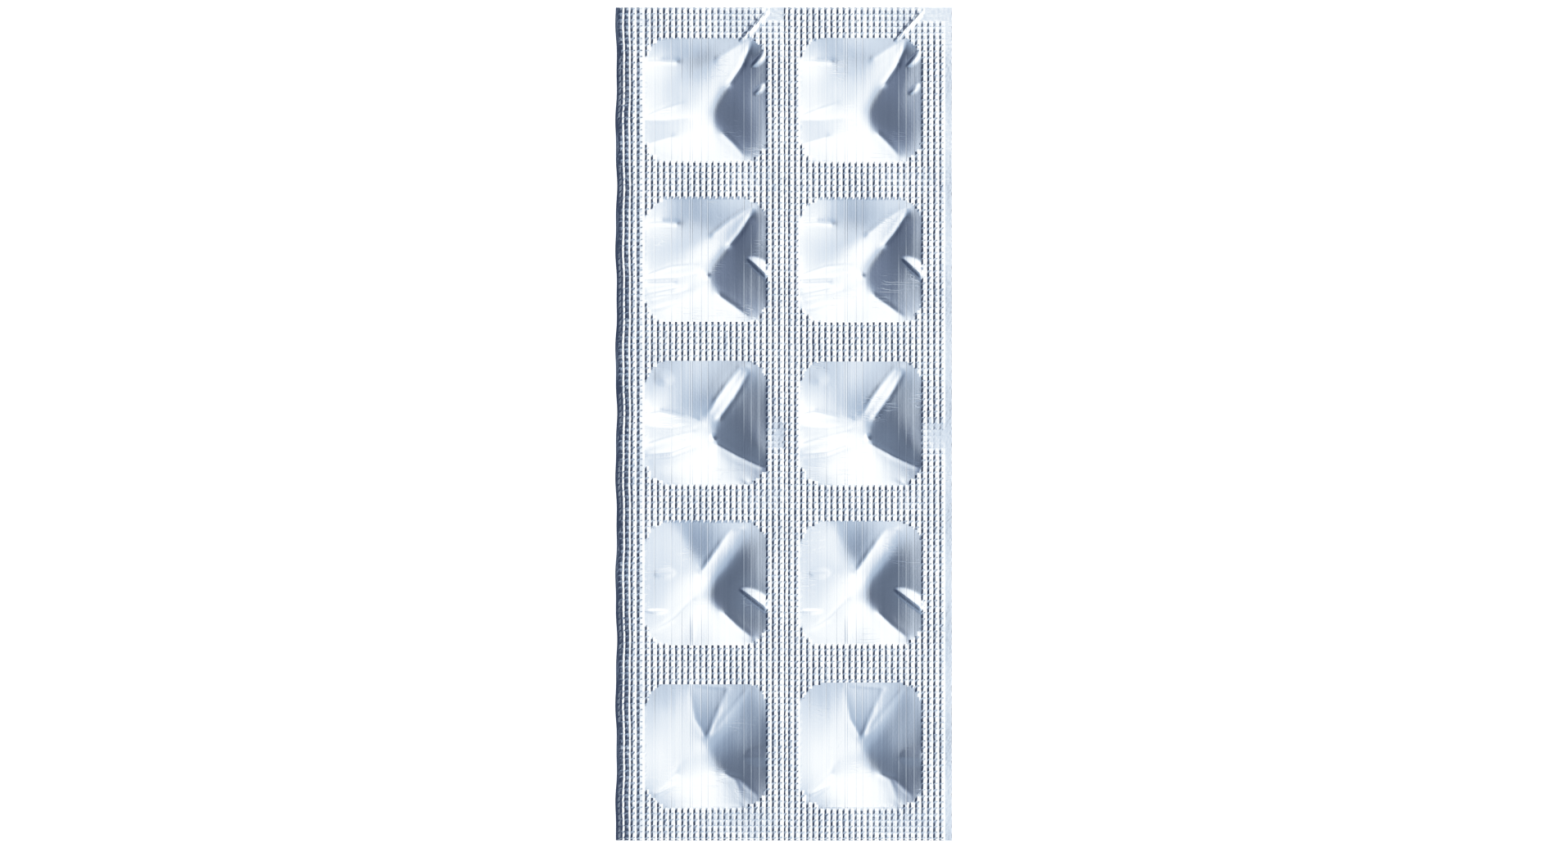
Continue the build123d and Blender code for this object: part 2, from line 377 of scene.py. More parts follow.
def read_net(net):
    """Heights of the net on the square map, 0 outside it."""
    co, z, triangles = net
    grid = np.zeros((map_count, map_count))
    for a, b, c in triangles:
        pa, pb, pc = co[a], co[b], co[c]
        cross = (pb[0] - pa[0]) * (pc[1] - pa[1]) - (pc[0] - pa[0]) * (pb[1] - pa[1])
        if abs(cross) < LEAST_AREA:
            continue
        first = np.floor((np.minimum(np.minimum(pa, pb), pc) + MAP_HALF) / MAP_STEP).astype(int)
        last = np.ceil((np.maximum(np.maximum(pa, pb), pc) + MAP_HALF) / MAP_STEP).astype(int)
        u = np.arange(first[0], last[0] + 1)[None, :] * MAP_STEP - MAP_HALF
        v = np.arange(first[1], last[1] + 1)[:, None] * MAP_STEP - MAP_HALF
        share_b = ((u - pa[0]) * (pc[1] - pa[1]) - (pc[0] - pa[0]) * (v - pa[1])) / cross
        share_c = ((pb[0] - pa[0]) * (v - pa[1]) - (u - pa[0]) * (pb[1] - pa[1])) / cross
        inside = (share_b >= -EDGE_SLACK) & (share_c >= -EDGE_SLACK)
        inside &= share_b + share_c <= 1 + EDGE_SLACK
        value = z[a] + share_b * (z[b] - z[a]) + share_c * (z[c] - z[a])
        patch = grid[first[1]:last[1] + 1, first[0]:last[0] + 1]
        patch[inside] = value[inside]
    return grid


def soften(grid, softness):
    """The map blurred by that many millimetres, with a bell curve cut off at three of them."""
    reach = math.ceil(3 * softness / MAP_STEP)
    steps = np.arange(-reach, reach + 1)
    weights = np.exp(-0.5 * (steps * MAP_STEP / softness) ** 2)
    weights /= weights.sum()
    rows = sum(w * np.roll(grid, s, 0) for w, s in zip(weights, steps))
    return sum(w * np.roll(rows, s, 1) for w, s in zip(weights, steps))


print("points on a side of the map", map_count)

# %% Distances to folds, ridges and dents
FAR_OFF = 99.0
LEAST_TAPER = 0.05


def along_line(u, v, start, end):
    """Share of the way along a line for each point, and how far to the left of it that is."""
    du, dv = end[0] - start[0], end[1] - start[1]
    length = math.hypot(du, dv)
    share = ((u - start[0]) * du + (v - start[1]) * dv) / length**2
    left = (du * (v - start[1]) - dv * (u - start[0])) / length
    return share, left


def near_folds(folds):
    """Distance from each point of the map to the nearest of these folds."""
    nearest = np.full(map_u.shape, FAR_OFF)
    for fold in folds:
        for start, end in zip(fold, fold[1:]):
            share, _ = along_line(map_u, map_v, start, end)
            share = np.clip(share, 0, 1)
            to_u = map_u - start[0] - share * (end[0] - start[0])
            to_v = map_v - start[1] - share * (end[1] - start[1])
            nearest = np.minimum(nearest, np.hypot(to_u, to_v))
    return nearest


def ridge(u, v, start, end, height, left_width, right_width):
    """A raised crease that tapers to both of its ends."""
    share, left = along_line(u, v, start, end)
    taper = np.sqrt(np.clip(4 * share * (1 - share), 0, 1))
    width = np.where(left > 0, left_width, right_width) * np.maximum(taper, LEAST_TAPER)
    return height * taper * np.maximum(0, 1 - np.abs(left) / width)


def dent(u, v, across, along, depth):
    """A dent with straight sides, or a bump where the depth is negative."""
    out = np.hypot((map_u - u) / across, (map_v - v) / along)
    return -depth * np.maximum(0, 1 - out)


# %% A height map of each lid
SHARP_FOLD = 0.13
SOFT_FOLD = 0.8
SHARP_REACH = 0.7
RIM_FADE = 0.3


def lid_map(lid):
    """The height map of one lid."""
    plain = read_net(stretched_net(lid["sharp"] + lid["soft"]))
    crisp, soft = soften(plain, SHARP_FOLD), soften(plain, SOFT_FOLD)
    keep = np.exp(-(near_folds(lid["sharp"] + [rim_line()]) / SHARP_REACH) ** 2)
    ridges = sum(ridge(map_u, map_v, *values) for values in lid["ridges"])
    dents = sum(dent(*values) for values in lid["dents"])
    extra = (ridges + dents) * np.clip(depth_inside(map_u, map_v) / RIM_FADE, 0, 1)
    return soft + (crisp - soft) * keep + soften(extra, SHARP_FOLD)


lid_maps = np.array([lid_map(lid) for lid in LIDS])
print("lowest point of each lid in mm", lid_maps.min(axis=(1, 2)).round(2))

# %% [markdown]
# The seal isn't quite flat either. Its left margin was bent down when the pack was cut, the
# whole foil waves a little, and a wrinkle runs from the far pocket of each column up to the
# right. A bend modifier or sculpting could do this, but the seal and the lids have to keep
# touching, so both read their height from one formula.

# %% The height of the whole foil without its knurl
CURL_WIDTH = 3.6
CURL_DROP = 0.45
CURL_WAVE = 0.4
WAVE_HEIGHT = 0.05
# The wrinkle is a ridge, measured from the middle of the far pocket.
CORNER_WRINKLE = ((4.9, 8.7), (9.3, 13.3), 0.2, 0.5, 0.7)
MAP_END = map_count - 1.001


def lid_height(x, y):
    """Height of the lid foil over the seal at each point, 0 off the pockets."""
    u, v, row = nearest_pocket(x, y)
    column = np.clip((u + MAP_HALF) / MAP_STEP, 0, MAP_END)
    line = np.clip((v + MAP_HALF) / MAP_STEP, 0, MAP_END)
    i, j = column.astype(int), line.astype(int)
    s, t = column - i, line - j
    near = lid_maps[row, j, i] * (1 - s) + lid_maps[row, j, i + 1] * s
    far = lid_maps[row, j + 1, i] * (1 - s) + lid_maps[row, j + 1, i + 1] * s
    return near * (1 - t) + far * t


def into_curl(x):
    """How far a point is into the bent left margin: 0 where it starts and 1 at the edge."""
    return np.maximum(0.0, CURL_WIDTH - (x + WIDTH / 2)) / CURL_WIDTH


def ground(x, y):
    """Height of the foil from the seal's level. The waves only have to be slow and uneven."""
    drop = CURL_DROP * (1 + CURL_WAVE * np.sin(y * 0.4 + 1.2 * np.sin(y * 0.17)))
    wave = WAVE_HEIGHT * np.sin(x * 0.52 + 0.5) * np.sin(y * 0.38 + 1.0 + 0.4 * np.sin(x * 0.2))
    u, v, row = nearest_pocket(x, y)
    wrinkle = np.where(row == 0, ridge(u, v, *CORNER_WRINKLE), 0.0)
    return lid_height(x, y) - drop * into_curl(x)**3 + wave + wrinkle


print("left edge in mm", ground(np.array([-WIDTH / 2]), np.array([0.0])).round(2))

# %% [markdown]
# The knurl is a field of small pillows, one for each crossing of the roller's ribs. A mesh line
# on every rib keeps each pillow crisp with only a few faces: three strips across it and three
# along it. An even grid would need several times the faces to find every rib. The ribs' places
# are worked out here, with the wider steps at the left band and at the seam between the two
# columns.

# %% Where the ribs of the sealing roller fall
RIB_PITCH = 0.9
ROW_RIB_PITCH = 0.9085
FIRST_RIB = 0.37
EDGE_RIBS = 4
COLUMN_FIRST_RIB = 4.28
COLUMN_RIBS = 24
RIGHT_RIB_START = 25.6
FIRST_ROW_RIB = 0.1
# The mesh lines of a pillow, as shares of the way from one rib to the next.
ACROSS_PILLOW = [0.0, 0.36, 0.7]
ALONG_PILLOW = [0.0, 0.22, 0.62]


def ribs_across():
    """X of each rib from the left edge of the pack to the right one."""
    places = [0.0] + [FIRST_RIB + i * RIB_PITCH for i in range(EDGE_RIBS)]
    places += [COLUMN_FIRST_RIB + i * RIB_PITCH for i in range(COLUMN_RIBS)]
    count = int((WIDTH - RIGHT_RIB_START) / RIB_PITCH) + 1
    places += [RIGHT_RIB_START + i * RIB_PITCH for i in range(count)]
    return np.array(places + [WIDTH]) - WIDTH / 2


def ribs_along():
    """Y of each rib from the near edge of the pack to the far one."""
    count = int((LENGTH - FIRST_ROW_RIB) / ROW_RIB_PITCH) + 1
    from_far = [FIRST_ROW_RIB + i * ROW_RIB_PITCH for i in range(count)]
    return np.array([LENGTH] + from_far[::-1] + [0.0]) * -1 + LENGTH / 2


def mesh_lines(ribs, fractions):
    """The mesh lines for these ribs, with the cell and the line within it of each."""
    starts, steps = ribs[:-1], np.diff(ribs)
    lines = (starts[:, None] + steps[:, None] * np.array(fractions)).ravel()
    cells = np.repeat(np.arange(len(starts)), len(fractions))
    phases = np.tile(np.arange(len(fractions)), len(starts))
    return np.append(lines, ribs[-1]), np.append(cells, len(starts) - 1), np.append(phases, 0)


x_lines, x_cells, x_phases = mesh_lines(ribs_across(), ACROSS_PILLOW)
y_lines, y_cells, y_phases = mesh_lines(ribs_along(), ALONG_PILLOW)
x_middles = (ribs_across()[:-1] + ribs_across()[1:]) / 2
y_middles = (ribs_along()[:-1] + ribs_along()[1:]) / 2
print("mesh lines", len(x_lines), len(y_lines))

# %% [markdown]
# A pillow rises from the rib at its left to a crest a third of the way across, and falls over
# the rest to the next rib. On the bent left margin the crest is nearer to the right. Between a
# pillow and the next one along the rib the foil dips, deepest at the left, so a rib reads as a
# row of short pits. Where the roller pressed less the pillows are lower and stand apart as
# dots, and in a few places at the right of each column there are none. A bump texture could
# draw the knurl, but it wouldn't be there in the exported mesh or from the side.

# %% How full each pillow is
KNURL_CLEARANCE = 0.4
UNEVEN_PRESS = (0.8, 1.15)
PATCH_STRENGTH = 0.14
BARE_CORNER = (9.2, 59.8)
# The lightly pressed strip is past this place, and fades in at this rate each way.
LIGHT_STRIP = (0.5, 57.6)
LIGHT_STRIP_RATE = (0.7, 2.5)
LIGHT_STRIP_LOSS = 0.6
# A weak spot is a middle, its reach both ways and the share of the pillows' height it takes.
WEAK_SPOTS = [
    (7.4, 36.4, 4.2, 1.8, 0.35), (8.5, -11.2, 3.4, 1.4, 0.35), (5.5, -58.9, 4.8, 2.4, 0.35),
    (11.6, -1.8, 2.6, 2.6, 0.9), (12.8, 30.0, 1.2, 16.0, 0.25), (12.8, -30.0, 1.2, 20.0, 0.25),
    (0.0, -59.6, 12.0, 2.2, 0.2),
]


def pressed(u, y):
    """How full the pillows are here, 0 to 1, from the middle of their column."""
    light_u, light_y = LIGHT_STRIP
    rate_u, rate_y = LIGHT_STRIP_RATE
    strip = 1 / (1 + np.exp((light_y - y) * rate_y)) / (1 + np.exp((light_u - u) * rate_u))
    full = 1 - LIGHT_STRIP_LOSS * strip
    for at_u, at_y, across, along, loss in WEAK_SPOTS:
        full -= loss * np.exp(-((u - at_u) / across) ** 4 - ((y - at_y) / along) ** 4)
    wrinkle = ridge(u, y - row_centres[0], *CORNER_WRINKLE) > 0
    bare = (u > BARE_CORNER[0]) & (y > BARE_CORNER[1]) | wrinkle
    return np.where(bare, 0.0, np.maximum(full, 0))


def pillow_fullness():
    """One number for each cell between ribs: 1 is a full pillow and 0 is none."""
    x, y = np.meshgrid(x_middles, y_middles)
    u, v, _ = nearest_pocket(x, y)
    wave_x = np.sin(x * 0.61 + 1.3 * np.sin(y * 0.29))
    wave_y = np.sin(y * 0.47 + 0.9 * np.sin(x * 0.37))
    patches = PATCH_STRENGTH * wave_x * wave_y
    full = pressed(u, y) * (rng.uniform(*UNEVEN_PRESS, x.shape) + patches)
    full[depth_inside(u, v) > KNURL_CLEARANCE] = 0
    full[:, 0] = 0
    full[:, -2:] = 0
    return full


# %% The height of the knurl
PILLOW_HEIGHT = 0.1
PILLOW_PROFILE = np.array([0.0, 1.0, 0.62])
MARGIN_PROFILE = np.array([0.0, 0.95, 1.25])
CROSSING_PROFILE = np.array([0.1, 0.3, 0.54])
CROSSING_STARTS = 0.4
CROSSING_RANGE = 0.35
UNEVEN_HEIGHT = 0.012
LEAST_UNEVEN = 0.4

rng = np.random.default_rng(7)
fullness = pillow_fullness()
cell = fullness[y_cells[:, None], x_cells[None, :]]
in_margin = x_cells < EDGE_RIBS - 1
profile = np.where(in_margin, MARGIN_PROFILE[x_phases], PILLOW_PROFILE[x_phases])
joined = np.clip((cell - CROSSING_STARTS) / CROSSING_RANGE, 0, 1)
crossing = CROSSING_PROFILE[x_phases] * joined
relief = PILLOW_HEIGHT * cell * np.where((y_phases > 0)[:, None], profile, crossing)
relief += UNEVEN_HEIGHT * np.clip(cell, LEAST_UNEVEN, 1) * rng.uniform(-1, 1, relief.shape)
print("pillows", int((fullness > 0.5).sum()))

# %% [markdown]
# Every piece starts as a grid primitive. Its vertices are then moved all at once, which is
# much quicker than a modelling step for each, and its faces are picked by where they lie.

# %% Helpers for meshes made with operators


def start_piece(name):
    """Names the primitive just added and returns it."""
    piece = bpy.context.object
    piece.name = name
    piece.data.name = name
    return piece


def set_vertices(piece, points):
    """Moves the vertices of a piece to these points, given in millimetres."""
    piece.data.vertices.foreach_set("co", (np.asarray(points) * MM).ravel())
    piece.data.update()


def select_faces(piece, wanted):
    """Selects just these faces of a piece that is in object mode."""
    piece.data.vertices.foreach_set("select", np.zeros(len(piece.data.vertices), dtype=bool))
    piece.data.edges.foreach_set("select", np.zeros(len(piece.data.edges), dtype=bool))
    piece.data.polygons.foreach_set("select", wanted)


def face_centres(piece):
    """The middle of each face of a piece, in millimetres."""
    centres = np.zeros(len(piece.data.polygons) * 3)
    piece.data.polygons.foreach_get("center", centres)
    return centres.reshape(-1, 3) / MM


# %% [markdown]
# The seal is one sheet with ten openings. A grid is added with a vertex for each crossing of
# two mesh lines, its vertices are moved to the places and heights from above, the faces
# inside the pockets are deleted, and the rest is extruded down to the foil's thickness. Cutting
# the openings with booleans would leave slivers in so fine a mesh. The left edge was cut a
# little wavy, and the right column's knurl sits a tenth of a millimetre nearer.

# %% The knurled seal
HOLE_INSET = 0.35
UNEVEN_PLACE = 0.035
EDGE_WAVE = 0.1
COLUMN_SHIFT = 0.1
SHIFT_FADE = 2


def edge_wave(x, y):
    """Sideways shift of the wavy left margin. The waves only have to be slow and uneven."""
    return EDGE_WAVE * into_curl(x) * (np.sin(y * 0.37 + 1.0) + 0.5 * np.sin(y * 0.93))


def column_shift(x, y):
    """Shift of the right column's knurl lines, which fades out at the far and near edges."""
    return COLUMN_SHIFT * np.clip(x, 0, 1) * np.clip((LENGTH / 2 - np.abs(y)) / SHIFT_FADE, 0, 1)


bpy.ops.object.select_all(action="DESELECT")
bpy.ops.mesh.primitive_grid_add(
    x_subdivisions=len(x_lines) - 1, y_subdivisions=len(y_lines) - 1, size=1, location=(0, 0, 0)
)
seal = start_piece("seal_web")
grid_x, grid_y = np.meshgrid(x_lines, y_lines)
grid_x, grid_y = grid_x + edge_wave(grid_x, grid_y), grid_y - column_shift(grid_x, grid_y)
inner = np.s_[1:-1, 1:-1]
uneven = rng.uniform(-UNEVEN_PLACE, UNEVEN_PLACE, (2, *grid_x.shape))
grid_x[inner] += uneven[0][inner]
grid_y[inner] += uneven[1][inner]
grid_z = WEB_TOP + ground(grid_x, grid_y) + relief
set_vertices(seal, np.stack([grid_x, grid_y, grid_z], axis=-1).reshape(-1, 3))
centres = face_centres(seal)
u, v, _ = nearest_pocket(centres[:, 0], centres[:, 1])
bpy.ops.object.mode_set(mode="EDIT")
bpy.ops.mesh.select_mode(type="FACE")
bpy.ops.object.mode_set(mode="OBJECT")
select_faces(seal, depth_inside(u, v) > HOLE_INSET)
bpy.ops.object.mode_set(mode="EDIT")
bpy.ops.mesh.delete(type="FACE")
bpy.ops.mesh.select_all(action="SELECT")
bpy.ops.mesh.extrude_region_move(TRANSFORM_OT_translate={"value": (0, 0, -WEB_THICKNESS * MM)})
bpy.ops.mesh.select_all(action="SELECT")
bpy.ops.mesh.normals_make_consistent(inside=False)
bpy.ops.object.mode_set(mode="OBJECT")
bpy.ops.object.shade_flat()
print("seal faces", len(seal.data.polygons))

# %% [markdown]
# The formed foil is drawn down over a punch, so each cup has a rolled mouth edge, a sloping
# wall and a rolled floor edge. A bevel could round the two edges, but a drawn section, as a
# lathe would follow it, gives every ring its place at once.

# %% The section of a drawn cup
POCKET_DRAFT = 12.0
MOUTH_RADIUS = 0.6
FLOOR_RADIUS = 1.2
MOUTH_STEPS = 3
FLOOR_STEPS = 5
underside = WEB_TOP - WEB_THICKNESS


def next_ring(ring, heading, length):
    """The ring this far on, heading so many degrees below level."""
    inset, height = ring
    angle = math.radians(heading)
    return inset + length * math.cos(angle), height - length * math.sin(angle)


def chord(radius, turn):
    """Length of the straight line across this many degrees of a rounding."""
    return 2 * radius * math.sin(math.radians(turn / 2))


def cup_section():
    """Inset from the outline and height of each ring, from the mouth to the floor."""
    turn = 90 - POCKET_DRAFT
    rounding = (MOUTH_RADIUS + FLOOR_RADIUS) * (1 - math.cos(math.radians(turn)))
    straight = (underside - rounding) / math.cos(math.radians(POCKET_DRAFT))
    mouth_turn, floor_turn = turn / MOUTH_STEPS, turn / FLOOR_STEPS
    steps = [((i + 0.5) * mouth_turn, chord(MOUTH_RADIUS, mouth_turn)) for i in range(MOUTH_STEPS)]
    steps.append((turn, straight))
    for i in range(FLOOR_STEPS):
        steps.append((turn - (i + 0.5) * floor_turn, chord(FLOOR_RADIUS, floor_turn)))
    section = [(0.0, underside)]
    for heading, length in steps:
        section.append(next_ring(section[-1], heading, length))
    return section


rings = cup_section()
print("cup rings", [(round(inset, 2), round(height, 2)) for inset, height in rings])

# %% [markdown]
# Each pocket is a closed chamber: the lid foil on top and the drawn cup below it. A square
# grid is pulled to the rounded outline for the lid. Its rim is then extruded ring by ring,
# down inside the seal's thickness, over the mouth, down the wall and round to the floor. Each
# vertex remembers its place on the square, and that place finds it its spot on every ring.

# %% The grid of a lid
LID_FACES = 106
LID_UNDER_SEAL = 0.03
RIM_HIDDEN = 0.3
ROUNDING_POWER = 6
LEAST_REACH = 1e-9


def on_outline(s, t, inset):
    """The point of the outline, this far inside it, that the square's edge point (s, t) takes."""
    corner = POCKET_CORNER - inset
    half_u, half_v = POCKET_WIDTH / 2 - inset, POCKET_LENGTH / 2 - inset
    u, v = s * half_u, t * half_v
    over_u = np.maximum(np.abs(u) - (half_u - corner), 0)
    over_v = np.maximum(np.abs(v) - (half_v - corner), 0)
    reach = np.maximum(np.hypot(over_u, over_v), LEAST_REACH)
    both = (over_u > 0) & (over_v > 0)
    u = np.where(both, np.sign(u) * (half_u - corner + over_u * corner / reach), u)
    v = np.where(both, np.sign(v) * (half_v - corner + over_v * corner / reach), v)
    return u, v


def lid_points(x_middle, y_middle):
    """The lid's grid of points, regular in the middle and rounded to the outline at its edge."""
    steps = np.linspace(-1, 1, LID_FACES + 1)
    s, t = np.meshgrid(steps, steps)
    out = np.maximum(np.maximum(np.abs(s), np.abs(t)), LEAST_REACH)
    edge_u, edge_v = on_outline(s / out, t / out, -RIM_HIDDEN)
    plain_u, plain_v = s * (POCKET_WIDTH / 2 + RIM_HIDDEN), t * (POCKET_LENGTH / 2 + RIM_HIDDEN)
    share = out**ROUNDING_POWER
    u = plain_u * (1 - share) + edge_u * out * share
    v = plain_v * (1 - share) + edge_v * out * share
    x, y = u + x_middle, v + y_middle
    return np.stack([x, y, WEB_TOP + ground(x, y) - LID_UNDER_SEAL], axis=-1).reshape(-1, 3)


# %% From a lid to a closed pocket
RING_DROP = 3.0


def place_rings(pocket, x_middle, y_middle):
    """Moves each extruded ring of vertices to its place on the cup's section."""
    count = len(pocket.data.vertices)
    points, square = np.zeros(count * 3), np.zeros(count * 3)
    pocket.data.vertices.foreach_get("co", points)
    pocket.data.attributes["square_place"].data.foreach_get("vector", square)
    points, square = points.reshape(-1, 3) / MM, square.reshape(-1, 3)
    number = np.rint((WEB_TOP - points[:, 2]) / RING_DROP).astype(int)
    hidden_rim = (-RIM_HIDDEN, underside + WEB_THICKNESS / 3)
    for ring, (inset, height) in enumerate([hidden_rim] + rings):
        chosen = number == ring + 1
        u, v = on_outline(square[chosen, 0], square[chosen, 1], inset)
        points[chosen, 0] = u + x_middle
        points[chosen, 1] = v + y_middle
        points[chosen, 2] = height
    set_vertices(pocket, points)
    pocket.data.attributes.remove(pocket.data.attributes["square_place"])


def add_pocket(x_middle, y_middle):
    """Adds one closed pocket and returns its object."""
    bpy.ops.object.select_all(action="DESELECT")
    bpy.ops.mesh.primitive_grid_add(
        x_subdivisions=LID_FACES, y_subdivisions=LID_FACES, size=2, location=(0, 0, 0)
    )
    pocket = bpy.context.object
    square = np.zeros(len(pocket.data.vertices) * 3, dtype=np.float32)
    pocket.data.vertices.foreach_get("co", square)
    place = pocket.data.attributes.new("square_place", "FLOAT_VECTOR", "POINT")
    place.data.foreach_set("vector", square)
    set_vertices(pocket, lid_points(x_middle, y_middle))
    bpy.ops.object.mode_set(mode="EDIT")
    bpy.ops.mesh.select_mode(type="EDGE")
    bpy.ops.mesh.select_all(action="DESELECT")
    bpy.ops.mesh.select_non_manifold(extend=False, use_wire=False, use_multi_face=False,
                                     use_non_contiguous=False, use_verts=False)
    for _ in range(len(rings) + 1):
        bpy.ops.mesh.extrude_edges_move(TRANSFORM_OT_translate={"value": (0, 0, -RING_DROP * MM)})
    bpy.ops.mesh.edge_face_add()
    bpy.ops.object.mode_set(mode="OBJECT")
    place_rings(pocket, x_middle, y_middle)
    return pocket


# %% The two columns
SMOOTH_UP_TO = math.radians(40)


def add_column(name, x_middle):
    """Five pockets joined as one piece."""
    pockets = [add_pocket(x_middle, y_middle) for y_middle in row_centres]
    bpy.ops.object.select_all(action="DESELECT")
    for pocket in pockets:
        pocket.select_set(True)
    bpy.context.view_layer.objects.active = pockets[0]
    bpy.ops.object.join()
    column = start_piece(name)
    bpy.ops.object.mode_set(mode="EDIT")
    bpy.ops.mesh.select_all(action="SELECT")
    bpy.ops.mesh.normals_make_consistent(inside=False)
    bpy.ops.object.mode_set(mode="OBJECT")
    bpy.ops.object.shade_smooth_by_angle(angle=SMOOTH_UP_TO)
    return column


columns = [
    add_column(name, x_middle)
    for name, x_middle in zip(["left_pockets", "right_pockets"], column_centres)
]
print("faces of a column", [len(column.data.polygons) for column in columns])

# %% [markdown]
# A material is a tree of small nodes. A few helpers write the ones that come back often, so
# that what follows reads as the sums it does.

# %% Helpers for shader nodes


def new_group(name, outputs):
    """An empty shader node group that takes a position and gives these values."""
    group = bpy.data.node_groups.new(name, "ShaderNodeTree")
    group.interface.new_socket("Vector", in_out="INPUT", socket_type="NodeSocketVector")
    for socket in outputs:
        group.interface.new_socket(socket, in_out="OUTPUT", socket_type="NodeSocketFloat")
    return group, group.nodes.new("NodeGroupInput"), group.nodes.new("NodeGroupOutput")


def math_node(tree, operation, first, second=None, third=None):
    """A math node on sockets or numbers, and its output."""
    node = tree.nodes.new("ShaderNodeMath")
    node.operation = operation
    for number, value in enumerate((first, second, third)):
        if isinstance(value, bpy.types.NodeSocket):
            tree.links.new(value, node.inputs[number])
        elif value is not None:
            node.inputs[number].default_value = value
    return node.outputs[0]


def held_between(tree, value, least, most):
    """The value, kept from going under the least or over the most."""
    return math_node(tree, "MINIMUM", math_node(tree, "MAXIMUM", value, least), most)


def noise_node(tree, place, scale, detail=2.0):
    """A noise texture read at this place, and its output."""
    noise = tree.nodes.new("ShaderNodeTexNoise")
    noise.inputs["Scale"].default_value = scale
    noise.inputs["Detail"].default_value = detail
    tree.links.new(place, noise.inputs["Vector"])
    return noise.outputs["Fac"]


# %% [markdown]
# The rolling mill leaves fine lines along the foil: countless streaks, and a few deeper lines
# that come back in both columns. An image could hold them, but noise stretched along the pack
# and a list of places stay sharp at any size.

# %% Rolling lines
MILL_LINES = [-7.74, -5.24, -3.72, -2.5, -2.13, -0.8, 0.18, 5.6, 6.7, 7.9]
MILL_LINE_WIDTH = 0.07
STREAK_STRETCH = 0.01
STREAK_SCALE = 1500.0
STREAK_DETAIL = 3.0


def rolling_lines():
    """The group whose Height is of the deeper lines and whose Streaks are the fine ones."""
    group, inputs, outputs = new_group("rolling_lines", ["Height", "Streaks"])
    split = group.nodes.new("ShaderNodeSeparateXYZ")
    group.links.new(inputs.outputs["Vector"], split.inputs[0])
    half = COLUMN_PITCH / 2 * MM
    shifted = math_node(group, "ADD", split.outputs["X"], half)
    across = math_node(group, "WRAP", shifted, half, -half)
    total = None
    for place in MILL_LINES:
        away = math_node(group, "ABSOLUTE", math_node(group, "SUBTRACT", across, place * MM))
        near = math_node(group, "DIVIDE", away, -MILL_LINE_WIDTH * MM)
        line = math_node(group, "MAXIMUM", math_node(group, "ADD", near, 1.0), 0.0)
        total = line if total is None else math_node(group, "ADD", total, line)
    join = group.nodes.new("ShaderNodeCombineXYZ")
    group.links.new(across, join.inputs["X"])
    along = math_node(group, "MULTIPLY", split.outputs["Y"], STREAK_STRETCH)
    group.links.new(along, join.inputs["Y"])
    streaks = noise_node(group, join.outputs[0], STREAK_SCALE, STREAK_DETAIL)
    group.links.new(total, outputs.inputs["Height"])
    group.links.new(streaks, outputs.inputs["Streaks"])
    return group


mill_group = rolling_lines()
print("nodes for the rolling lines", len(mill_group.nodes))

# %% [markdown]
# Handled foil has hairline scratches in loose bundles, and a faint grain. A scratch is drawn
# where a stretched noise crosses its middle value, which is a thin line, and a second, slow
# noise says where a bundle lies. Scratches drawn one by one would show a pattern sooner.

# %% Fine wear
SCRATCH_TURN = math.radians(50)
SCRATCH_SQUEEZE = (0.12, 1.0, 1.0)
SCRATCH_SCALE = 1400.0
SCRATCH_STEEPNESS = -40.0
SCRATCH_DEPTH = -1.2
BUNDLE_SCALE = 160.0
BUNDLE_CONTRAST = 8.0
BUNDLE_LEVEL = -4.4
GRAIN_SCALE = 2600.0
GRAIN_HEIGHT = 0.5


def fine_wear():
    """The group whose Height is of the scratches and the grain together."""
    group, inputs, outputs = new_group("fine_wear", ["Height"])
    place = inputs.outputs["Vector"]
    turned = group.nodes.new("ShaderNodeMapping")
    turned.inputs["Rotation"].default_value = (0, 0, SCRATCH_TURN)
    turned.inputs["Scale"].default_value = SCRATCH_SQUEEZE
    group.links.new(place, turned.inputs["Vector"])
    hair = noise_node(group, turned.outputs[0], SCRATCH_SCALE)
    off_level = math_node(group, "ABSOLUTE", math_node(group, "SUBTRACT", hair, 0.5))
    scratch = math_node(group, "MULTIPLY_ADD", off_level, SCRATCH_STEEPNESS, 1.0)
    scratch = math_node(group, "MAXIMUM", scratch, 0.0)
    bundles = noise_node(group, place, BUNDLE_SCALE)
    here = math_node(group, "MULTIPLY_ADD", bundles, BUNDLE_CONTRAST, BUNDLE_LEVEL)
    here = held_between(group, here, 0.0, 1.0)
    grain = noise_node(group, place, GRAIN_SCALE)
    cut = math_node(group, "MULTIPLY", math_node(group, "MULTIPLY", scratch, here), SCRATCH_DEPTH)
    height = math_node(group, "MULTIPLY_ADD", grain, GRAIN_HEIGHT, cut)
    group.links.new(height, outputs.inputs["Height"])
    return group


wear_group = fine_wear()
print("nodes for the fine wear", len(wear_group.nodes))

# %% [markdown]
# Bare rolled aluminium is a bluish white metal. Its look comes from what it mirrors, so the
# material is a metal of low roughness, and the two groups above tilt the mirror a little by
# way of a bump. They are less than a hundredth of a millimetre high, far too fine for a mesh.

# %% The foil
FOIL_COLOUR = (0.93, 0.95, 0.97)
ROUGHNESS = 0.08
STREAK_ROUGHNESS = 0.08
STREAK_HEIGHT = 1.8
LINE_DEPTH = 0.005


def group_node(tree, group, place):
    """A group put into a tree and given the position."""
    node = tree.nodes.new("ShaderNodeGroup")
    node.node_tree = group
    tree.links.new(place, node.inputs["Vector"])
    return node


